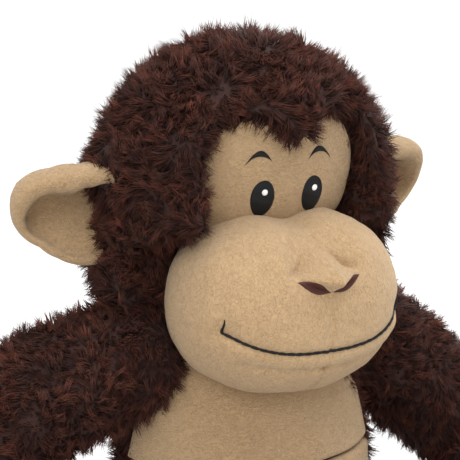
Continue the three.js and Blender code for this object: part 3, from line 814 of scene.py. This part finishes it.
def limbMesh(points, radii, around=48, ringsAlong=72):
    # a stuffed tube along the points, whose radius follows the list, with a round cap at each end
    run, line, along, across, up = pathFrames(points)
    bm = rings(around, ringsAlong)
    units = coordsOf(bm)
    t = np.arccos(np.clip(-units[:, 2], -1, 1)) / math.pi
    cap = 0.16
    total = run[-1]
    first, last = radii[0], radii[-1]
    rootAngle = np.clip(t / cap, 0, 1) * math.pi / 2
    tipAngle = np.clip((t - 1 + cap) / cap, 0, 1) * math.pi / 2
    middle = np.clip((t - cap) / (1 - 2 * cap), 0, 1)
    radius = np.interp(middle, np.linspace(0, 1, len(radii)), radii)
    radius = radius * np.sin(rootAngle) * np.cos(tipAngle)
    s = middle * total - first * np.cos(rootAngle) + last * np.sin(tipAngle)
    inside = np.clip(s, 0, total)

    def pick(table):
        return np.stack([np.interp(inside, run, table[:, k]) for k in range(3)], axis=1)

    centre = pick(line) + pick(along) * (s - inside)[:, None]
    turn = np.arctan2(units[:, 1], units[:, 0])
    outward = pick(across) * np.cos(turn)[:, None] + pick(up) * np.sin(turn)[:, None]
    coords = centre + outward * radius[:, None]
    moveTo(bm, coords)
    return bm


armShape = {
    "points": [(0, 0, 0), (42, -2, -10), (82, -14, -25), (104, -42, -50)],
    "radii": [26 * mm, 26.5 * mm, 26 * mm, 23 * mm, 18 * mm], "drop": {"left": 26, "right": 0},
}
handShape = {"long": 25 * mm, "wide": 18.5 * mm, "thick": 12.5 * mm, "fingers": (-9 * mm, 0, 9 * mm)}
# the thumb goes inwards and forwards from the hand's middle, in millimetres
thumbShape = {"points": [(-8, -6), (-18, 1), (-23, 8)], "radii": [7.5 * mm, 7.2 * mm, 6 * mm]}


def armPath(side, s):
    root = jointAt[f"arm_drop_{side}"]
    turn = Matrix.Rotation(math.radians(armShape["drop"][side]), 3, "Y")
    spots = []
    for point in armShape["points"]:
        spot = turn @ (Vector(point) * mm)
        spots.append(root + Vector((s * spot.x, spot.y, spot.z)))
    return spots


def arm(side, s):
    path = armPath(side, s)
    bm = limbMesh(path, armShape["radii"])
    coords = coordsOf(bm)
    outward = coords - coords.mean(axis=0)
    outward = outward / np.linalg.norm(outward, axis=1)[:, None]
    coords += outward * (0.8 * mm * lumps(coords, 20 * mm, 2.0 + s))[:, None]
    moveTo(bm, coords)
    piece = addPiece(f"armSkin_{side}", bm, backing)
    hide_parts(f"arm_fur_{side}", f"arm_stuffing_{side}")
    return piece


def hand(side, s):
    path = armPath(side, s)
    _, line, along, _, _ = pathFrames(path)
    forward = Vector(along[-1])
    across = (Vector((0, 1, 0)) - forward * forward.y).normalized()
    thick = forward.cross(across)
    centre = Vector(line[-1]) + forward * 15 * mm
    bm = ball(6)
    units = coordsOf(bm)
    local = superRound(units, np.array([handShape["wide"], handShape["thick"], handShape["long"]]), 2.3)
    x, y, z = local.T
    # stitched lines part the fingers
    tips = soft(2 * mm, 12 * mm, z)
    for gap in handShape["fingers"]:
        groove = bell(x - gap, 1.3 * mm) * tips
        local -= units * (2.2 * mm * groove)[:, None]
    frameTurn = np.array([across, thick, forward])
    moveTo(bm, local @ frameTurn + np.array(centre))
    palm = addPiece(f"hand_{side}", bm, plush)
    thumbPath = [centre + across * aside * mm + forward * ahead * mm for aside, ahead in thumbShape["points"]]
    thumbMesh = limbMesh(thumbPath, thumbShape["radii"], 32, 32)
    thumb = addPiece(f"thumb_{side}_plush", thumbMesh, plush)
    for piece in (palm, thumb):
        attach(piece, f"arm_{side}")
    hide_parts(f"hand_palm_{side}", f"hand_back_{side}")
    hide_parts(f"thumb_{side}")


legShape = {
    "long": 112 * mm, "sag": 6 * mm, "splay": 14, "radii": [24.5 * mm, 24 * mm, 22 * mm, 19.5 * mm, 19 * mm],
}
footShape = {
    "wide": 25 * mm, "thick": 17.5 * mm, "tall": 40.5 * mm, "ahead": 124 * mm, "flat": 0.82,
    "toes": (-12 * mm, -4 * mm, 4 * mm, 12 * mm),
}


def legPath(side, s):
    root = jointAt[f"leg_splay_{side}"]
    turn = Matrix.Rotation(math.radians(legShape["splay"]) * s, 3, "Z")
    steps = [Vector((0, -legShape["long"] * t, -legShape["sag"] * t * t)) for t in (0, 0.5, 1)]
    return [root + turn @ step for step in steps], turn, root


def leg(side, s):
    path, _, _ = legPath(side, s)
    bm = limbMesh(path, legShape["radii"])
    piece = addPiece(f"legSkin_{side}", bm, backing)
    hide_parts(f"leg_fur_{side}", f"leg_stuffing_{side}")
    return piece


def foot(side, s):
    _, turn, root = legPath(side, s)
    bm = ball(6)
    units = coordsOf(bm)
    local = superRound(units, np.array([footShape["wide"], footShape["thick"], footShape["tall"]]), 2.25)
    x, y, z = local.T
    # the sole is flatter, with a seam round it, and stitched lines part the toes
    local[:, 1] = np.where(y < 0, y * footShape["flat"], y)
    seam = bell(y + 7 * mm, 1.0 * mm)
    local -= units * (1.4 * mm * seam)[:, None]
    tips = soft(16 * mm, 30 * mm, z)
    for gap in footShape["toes"]:
        groove = bell(x - gap, 1.3 * mm) * tips
        local -= units * (2.4 * mm * groove)[:, None]
    local += np.array((0, -footShape["ahead"], footShape["tall"] - root.z + 0.3 * mm))
    moveTo(bm, local @ np.array(turn).T + np.array(root))
    piece = addPiece(f"foot_{side}", bm, plush)
    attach(piece, f"leg_{side}")
    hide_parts(f"foot_sole_{side}", f"foot_top_{side}")


tailShape = {
    "points": [(0, 0, 0), (4, 45, -7), (24, 88, -7), (64, 104, 0), (84, 84, 16)],
    "radii": [8 * mm, 7.5 * mm, 7 * mm, 6.5 * mm], "around": 32, "along": 110,
}


def tailPath():
    return [jointAt["tail_wag"] + Vector(point) * mm for point in tailShape["points"]]


def tail():
    bm = limbMesh(tailPath(), tailShape["radii"], tailShape["around"], tailShape["along"])
    piece = addPiece("tailSkin", bm, backing)
    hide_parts("tail_fur")
    return piece


armPieces = {side: arm(side, s) for side, s in sides}
legPieces = {side: leg(side, s) for side, s in sides}
tailPiece = tail()
for side, s in sides:
    hand(side, s)
    foot(side, s)
print("limbs made")


# Fur: bent strands in tufts, set on the skins

tuftShape = {
    "curled": 4, "straight": 6, "thick": 0.028, "spread": 0.18, "foot": 0.12, "bend": 0.28, "variants": 6,
}


def strandMesh(rng, shade, curl, curled):
    # one fine strand, one unit tall; a curled one keeps its width until near its tip
    bm = bmesh.new()
    thick = tuftShape["thick"] * rng.uniform(0.8, 1.2)
    bmesh.ops.create_cone(bm, cap_ends=False, segments=3, radius1=thick, radius2=0, depth=1)
    if curled:
        uprights = [e for e in bm.edges if abs(e.verts[0].co.z - e.verts[1].co.z) > 0.5]
        bmesh.ops.subdivide_edges(bm, edges=uprights, cuts=1)
    foot = rng.uniform(-1, 1, 2) * tuftShape["foot"]
    lean = rng.uniform(-1, 1, 2) * tuftShape["spread"]
    tall = rng.uniform(0.7, 1.05)
    for v in bm.verts:
        z = v.co.z + 0.5
        plump = 1.7 if 0.1 < z < 0.9 else 1
        v.co.x = v.co.x * plump + foot[0] + lean[0] * z + curl[0] * z * z
        v.co.y = v.co.y * plump + foot[1] + lean[1] * z + curl[1] * z * z
        v.co.z = z * tall
    layer = bm.loops.layers.uv.new("strand")
    for face in bm.faces:
        for loop in face.loops:
            loop[layer].uv = (shade, loop.vert.co.z / tall)
    mesh = bpy.data.meshes.new("strand")
    bm.to_mesh(mesh)
    bm.free()
    return mesh


def tuft(number):
    # a few strands side by side that curl the same way
    rng = np.random.default_rng(50 + number)
    bm = bmesh.new()
    curl = np.array([tuftShape["bend"], 0]) + rng.uniform(-0.1, 0.1, 2)
    count = tuftShape["curled"] + tuftShape["straight"]
    for k in range(count):
        strand = strandMesh(rng, k / count, curl, k < tuftShape["curled"])
        bm.from_mesh(strand)
        bpy.data.meshes.remove(strand)
    mesh = bpy.data.meshes.new(f"tuft{number}")
    bm.to_mesh(mesh)
    bm.free()
    return bpy.data.objects.new(f"tuft{number}", mesh)


tufts = bpy.data.collections.new("tufts")
bpy.context.scene.collection.children.link(tufts)
for number in range(tuftShape["variants"]):
    tufts.objects.link(tuft(number))


# the locks lean towards clumps of this size by this pull, and each is turned, sized and shaded by chance
furShape = {
    "clump": 5.5 * mm, "pull": 120, "jitter": 0.45, "crowd": 1.4, "sizes": (0.75, 1.2), "shades": 0.22,
}


def furNodes(name, spacing, seed):
    # points on the skin, a tuft on each along the comb direction, and the UV map of strand shades
    group = bpy.data.node_groups.new(name, "GeometryNodeTree")
    for way in ("INPUT", "OUTPUT"):
        group.interface.new_socket("Geometry", in_out=way, socket_type="NodeSocketGeometry")

    def make(kind, settings=None, inputs=None):
        made = group.nodes.new(kind)
        for key, value in (settings or {}).items():
            setattr(made, key, value)
        for key, value in (inputs or {}).items():
            if isinstance(value, bpy.types.NodeSocket):
                group.links.new(value, made.inputs[key])
            else:
                made.inputs[key].default_value = value
        return made.outputs

    def named(kind, attribute):
        return make("GeometryNodeInputNamedAttribute", {"data_type": kind}, {"Name": attribute})[0]

    def sums(operation, *values, clamp=False):
        settings = {"operation": operation, "use_clamp": clamp}
        return make("ShaderNodeMath", settings, dict(enumerate(values)))[0]

    def vectors(operation, *values):
        return make("ShaderNodeVectorMath", {"operation": operation}, dict(enumerate(values)))[0]

    def chance(low, high, step):
        # a random number for each lock
        inputs = {2: low, 3: high, "Seed": seed + step}
        return make("FunctionNodeRandomValue", {"data_type": "FLOAT"}, inputs)[1]

    def store(geometry, kind, domain, title, value):
        inputs = {"Geometry": geometry, "Name": title, "Value": value}
        return make("GeometryNodeStoreNamedAttribute", {"data_type": kind, "domain": domain}, inputs)[0]

    scatter = {
        "Mesh": make("NodeGroupInput")[0], "Distance Min": spacing, "Seed": seed,
        "Density Max": furShape["crowd"] / spacing ** 2, "Density Factor": named("FLOAT", "furDensity"),
    }
    points = make("GeometryNodeDistributePointsOnFaces", {"distribute_method": "POISSON"}, scatter)[0]
    jitter = furShape["jitter"]
    spread = {0: (-jitter,) * 3, 1: (jitter,) * 3, "Seed": seed + 1}
    shake = make("FunctionNodeRandomValue", {"data_type": "FLOAT_VECTOR"}, spread)[0]
    lie = vectors("ADD", named("FLOAT_VECTOR", "comb"), shake)
    # the locks lean together into clumps, one to each cell
    here = make("GeometryNodeInputPosition")[0]
    cell = make("ShaderNodeTexVoronoi", None, {"Vector": here, "Scale": 1 / furShape["clump"]})
    toCell = vectors("SUBTRACT", cell["Position"], here)
    lie = vectors("MULTIPLY_ADD", toCell, (furShape["pull"],) * 3, lie)
    aimed = make("FunctionNodeAlignRotationToVector", {"axis": "Z"}, {"Vector": lie})[0]
    roll = make("ShaderNodeCombineXYZ", None, {2: chance(0.0, math.tau, 2)})[0]
    turning = {"Rotation": aimed, "Rotate By": make("FunctionNodeEulerToRotation", None, {0: roll})[0]}
    turned = make("FunctionNodeRotateRotation", {"rotation_space": "LOCAL"}, turning)[0]
    size = sums("MULTIPLY", chance(*furShape["sizes"], 3), named("FLOAT", "furLength"))
    choosing = {"Collection": tufts, "Separate Children": True, "Reset Children": True}
    choice = make("GeometryNodeCollectionInfo", None, choosing)[0]
    placing = {"Points": points, "Instance": choice, "Pick Instance": True, "Rotation": turned, "Scale": size}
    placed = make("GeometryNodeInstanceOnPoints", None, placing)[0]
    # each lock's shade goes by patches, with some chance in it
    patchy = make("ShaderNodeTexNoise", None, {"Vector": here, "Scale": 110.0, "Detail": 2.0})[0]
    single = chance(-furShape["shades"], furShape["shades"], 4)
    shade = sums("ADD", sums("MULTIPLY_ADD", patchy, 1.5, -0.25), single, clamp=True)
    shaded = store(placed, "FLOAT", "INSTANCE", "shade", shade)
    real = make("GeometryNodeRealizeInstances", None, {"Geometry": shaded})[0]
    strand = make("ShaderNodeSeparateXYZ", None, {0: named("FLOAT_VECTOR", "strand")})
    lockShade = sums("MULTIPLY", named("FLOAT", "shade"), 0.9)
    across = sums("MULTIPLY_ADD", strand[0], 0.12, lockShade)
    uv = make("ShaderNodeCombineXYZ", None, {0: across, 1: strand[1]})[0]
    mapped = store(real, "FLOAT2", "CORNER", "OFBake", uv)
    group.links.new(mapped, group.nodes.new("NodeGroupOutput").inputs[0])
    return group


def growFur(name, skin, bodies, density, comb, length, spacing, seed):
    # density, comb and length are given for each point of the skin
    mesh = skin.data.copy()
    points = len(mesh.vertices)
    given = (
        ("furDensity", "FLOAT", "value", density), ("comb", "FLOAT_VECTOR", "vector", comb),
        ("furLength", "FLOAT", "value", length),
    )
    for title, kind, field, values in given:
        size = (points, 3) if field == "vector" else (points,)
        flat = np.ascontiguousarray(np.broadcast_to(np.asarray(values, np.float32), size)).ravel()
        mesh.attributes.new(title, kind, "POINT").data.foreach_set(field, flat)
    host = bpy.data.objects.new("furHost", mesh)
    bpy.context.collection.objects.link(host)
    modifier = host.modifiers.new("fur", "NODES")
    modifier.node_group = furNodes(f"{name}Nodes", spacing, seed)
    bpy.context.view_layer.update()
    grown = bpy.data.meshes.new_from_object(host.evaluated_get(bpy.context.evaluated_depsgraph_get()))
    grown.name = name
    bpy.data.objects.remove(host)
    helpers = ("shade", "strand", "comb", "furDensity", "furLength")
    for spare in [a.name for a in grown.attributes if a.name in helpers]:
        grown.attributes.remove(grown.attributes[spare])
    grown.materials.clear()
    grown.materials.append(fur)
    grown.polygons.foreach_set("use_smooth", [True] * len(grown.polygons))
    piece = bpy.data.objects.new(name, grown)
    bpy.context.collection.objects.link(piece)
    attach(piece, bodies)
    print(name, "triangles", sum(len(p.vertices) - 2 for p in grown.polygons))


def skinData(piece):
    mesh = piece.data
    count = len(mesh.vertices)
    points, normals = np.zeros(count * 3), np.zeros(count * 3)
    mesh.vertices.foreach_get("co", points)
    mesh.vertices.foreach_get("normal", normals)
    return points.reshape(-1, 3), normals.reshape(-1, 3)


def swirl(points, size, seed):
    # a slow random direction at each point
    shift = [Vector((seed, 0, 0)), Vector((0, seed, 7)), Vector((3, 0, seed))]
    return np.array([[noise.noise(Vector(p) / size + k) for k in shift] for p in points])


def tangent(direction, normals):
    flat = direction - normals * (direction * normals).sum(axis=1)[:, None]
    return flat / np.maximum(np.linalg.norm(flat, axis=1), 1e-6)[:, None]


def combed(points, normals, flow, pull, seed):
    # the pile lies over at a slant, swirling slowly, with some pull along the flow
    whirl = swirl(points, 17 * mm, seed)
    return normals * 0.5 + tangent(whirl, normals) * 0.7 + flow * pull


headFurShape = {"spacing": 1.7 * mm, "length": 9.5 * mm, "gusset": 21 * mm, "neck": 30 * mm}


def headFur():
    points, normals = skinData(headPiece)
    local = points - np.array(headMid)
    x, y, z = local.T
    inFace = (faceReach(x, z) < 0.97) & (y < 0)
    beside = besideMuzzle(points)
    inMuzzle = beside < 0.99
    fromNeck = np.linalg.norm(points - np.array(neckAt), axis=1) < headFurShape["neck"]
    density = np.where(inFace | inMuzzle | fromNeck, 0.0, 1.0)
    down = tangent(np.tile([0, 0.25, -1.0], (len(points), 1)), normals)
    comb = combed(points, normals, down, 0.3, 4.0)
    outward = tangent(points - np.array(muzzleMid), normals)
    nearMuzzle = soft(1.45, 1.05, beside)
    comb += outward * (0.45 * nearMuzzle)[:, None]
    rim = soft(1.35, 1.0, faceReach(x, z)) * (y < 0)
    length = headFurShape["length"] * (1 - 0.1 * rim) * (1 - 0.2 * nearMuzzle)
    half = headFurShape["gusset"]
    spacing = headFurShape["spacing"]
    parts = (("Gusset", np.abs(x) <= half, 3), ("Left", x > half, 13), ("Right", x < -half, 23))
    for name, inside, seed in parts:
        growFur(f"headFur{name}", headPiece, "head", density * inside, comb, length, spacing, seed)


torsoFurShape = {"spacing": 1.8 * mm, "length": 10 * mm, "seat": 2.5 * mm, "neck": 158 * mm}


def torsoFur():
    points, normals = skinData(torsoPiece)
    x, y, z = points.T
    angle = np.abs(np.degrees(np.arctan2(x, -y)) - frontTwist(z))
    edge = np.interp(z / mm, [h for h, _ in frontEdge], [a for _, a in frontEdge])
    bare = (angle < edge - 2) & (z > frontShape["low"]) & (z < 148 * mm)
    under = z < torsoFurShape["seat"]
    inHead = z > torsoFurShape["neck"]
    density = np.where(bare | inHead | under, 0.0, 1.0)
    down = tangent(np.tile([0, 0, -1.0], (len(points), 1)), normals)
    comb = combed(points, normals, down, 0.5, 9.0)
    low = soft(0, 14 * mm, z)
    comb[:, 2] = np.where(z < 12 * mm, np.maximum(comb[:, 2], -0.1), comb[:, 2])
    length = torsoFurShape["length"] * (0.55 + 0.45 * low)
    spacing = torsoFurShape["spacing"]
    for name, inside, seed in (("Left", x >= 0, 33), ("Right", x < 0, 43)):
        growFur(f"torsoFur{name}", torsoPiece, "torso", density * inside, comb, length, spacing, seed)


def outsideTorso(points, depth):
    # True where a point is no deeper than this in the torso
    x, y, z = points.T
    sideX, sideY = torsoPoint(np.arctan2(x, -y), z)
    return np.hypot(x, y) > np.hypot(sideX, sideY) - depth


# a limb's end is free of fur for endFree, and its root has fur to this depth in the torso
limbFurShape = {
    "arm": {"spacing": 1.9 * mm, "length": 9 * mm, "endFree": 1 * mm, "depth": 3 * mm},
    "leg": {"spacing": 2.0 * mm, "length": 9.5 * mm, "endFree": 2 * mm, "depth": 12 * mm},
    "tail": {"spacing": 1.9 * mm, "length": 7.5 * mm, "endFree": 0, "depth": 0},
}


def limbFur(name, piece, body, path, shape, seed):
    points, normals = skinData(piece)
    run, line, along, _, _ = pathFrames(path)
    nearest = np.argmin(np.linalg.norm(points[:, None, :] - line[None, ::4, :], axis=2), axis=1) * 4
    flow = tangent(along[np.minimum(nearest, len(along) - 1)], normals)
    far = run[np.minimum(nearest, len(run) - 1)]
    density = np.where(outsideTorso(points, shape["depth"]) & (far <= run[-1] - shape["endFree"]), 1.0, 0.0)
    comb = combed(points, normals, flow, 0.45, seed)
    low = points[:, 2]
    comb[:, 2] = np.where(low < 10 * mm, np.maximum(comb[:, 2], -0.15), comb[:, 2])
    length = shape["length"] * (0.5 + 0.5 * soft(1 * mm, 14 * mm, low))
    growFur(name, piece, body, density, comb, length, shape["spacing"], seed)


headFur()
torsoFur()
for side, s in sides:
    legLine, _, _ = legPath(side, s)
    limbFur(f"armFur_{side}", armPieces[side], f"arm_{side}", armPath(side, s), limbFurShape["arm"], 53 + s)
    limbFur(f"legFur_{side}", legPieces[side], f"leg_{side}", legLine, limbFurShape["leg"], 63 + s)
    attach(armPieces[side], f"arm_{side}")
    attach(legPieces[side], f"leg_{side}")
limbFur("tailFur", tailPiece, "tail", tailPath(), limbFurShape["tail"], 73)
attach(tailPiece, "tail")
for spare in list(tufts.objects):
    bpy.data.objects.remove(spare)
bpy.data.collections.remove(tufts)
print("fur grown")


# Label and the hidden cloth discs

def careLabel():
    low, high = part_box("care_label")
    bm = bmesh.new()
    bmesh.ops.create_cube(bm, size=1)
    size, middle = high - low, (high + low) / 2
    bmesh.ops.scale(bm, vec=size, verts=bm.verts)
    bmesh.ops.translate(bm, vec=middle, verts=bm.verts)
    bmesh.ops.bevel(bm, geom=bm.edges[:], offset=0.25 * mm, segments=2, profile=0.5, affect="EDGES")
    piece = addPiece("careLabel", bm, labelCloth)
    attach(piece, "torso")
    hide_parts("care_label")


careLabel()
for name, node in frame["nodes"].items():
    if name.endswith("_stay") or "_stay_" in name:
        node.data.materials.clear()
        node.data.materials.append(lining)


# Floor, light and camera

def stageAndLight():
    bm = bmesh.new()
    bmesh.ops.create_grid(bm, x_segments=1, y_segments=1, size=12)
    mesh = bpy.data.meshes.new("floor")
    bm.to_mesh(mesh)
    bm.free()
    floorMat = Mat("paleFloor", Roughness=0.9)
    floorMat.set("Base Color", (0.76, 0.76, 0.76, 1))
    mesh.materials.append(floorMat.material)
    floor = bpy.data.objects.new("floor", mesh)
    bpy.context.collection.objects.link(floor)
    world = bpy.data.worlds.new("studio")
    world.use_nodes = True
    world.node_tree.nodes["Background"].inputs[0].default_value = (1, 1, 1, 1)
    world.node_tree.nodes["Background"].inputs[1].default_value = 0.8
    bpy.context.scene.world = world
    sun = bpy.data.lights.new("sky", "SUN")
    sun.energy, sun.angle = 2.0, math.radians(50)
    sky = bpy.data.objects.new("sky", sun)
    sky.rotation_euler = (math.radians(12), math.radians(10), 0)
    bpy.context.collection.objects.link(sky)
    lamps = (
        ("key", (-0.8, -0.9, 0.95), 0.8, 7),
        ("rim", (0.9, 0.55, 0.75), 0.6, 5),
    )
    for name, place, size, power in lamps:
        data = bpy.data.lights.new(name, "AREA")
        data.size, data.energy = size, power
        lamp = bpy.data.objects.new(name, data)
        lamp.location = place
        lamp.rotation_euler = (headMid - Vector(place)).to_track_quat("-Z", "Y").to_euler()
        bpy.context.collection.objects.link(lamp)


cameraShape = {
    "azimuth": -30, "elevation": 12, "distance": 0.80, "across": 0.216, "right": -0.0061, "up": -0.0155,
}


def aimCamera():
    shape = cameraShape
    turn, tilt = math.radians(shape["azimuth"]), math.radians(shape["elevation"])
    back = Vector((math.sin(turn) * math.cos(tilt), -math.cos(turn) * math.cos(tilt), math.sin(tilt)))
    right = Vector((math.cos(turn), math.sin(turn), 0))
    up = back.cross(right)
    target = headMid + right * shape["right"] + up * shape["up"]
    data = bpy.data.cameras.new("camera")
    data.sensor_width = 36
    data.lens = 36 * shape["distance"] / shape["across"]
    camera = bpy.data.objects.new("camera", data)
    camera.location = target + back * shape["distance"]
    camera.rotation_euler = back.to_track_quat("Z", "Y").to_euler()
    bpy.context.collection.objects.link(camera)
    bpy.context.scene.camera = camera


stageAndLight()
aimCamera()
bpy.context.scene.view_settings.view_transform = "Standard"
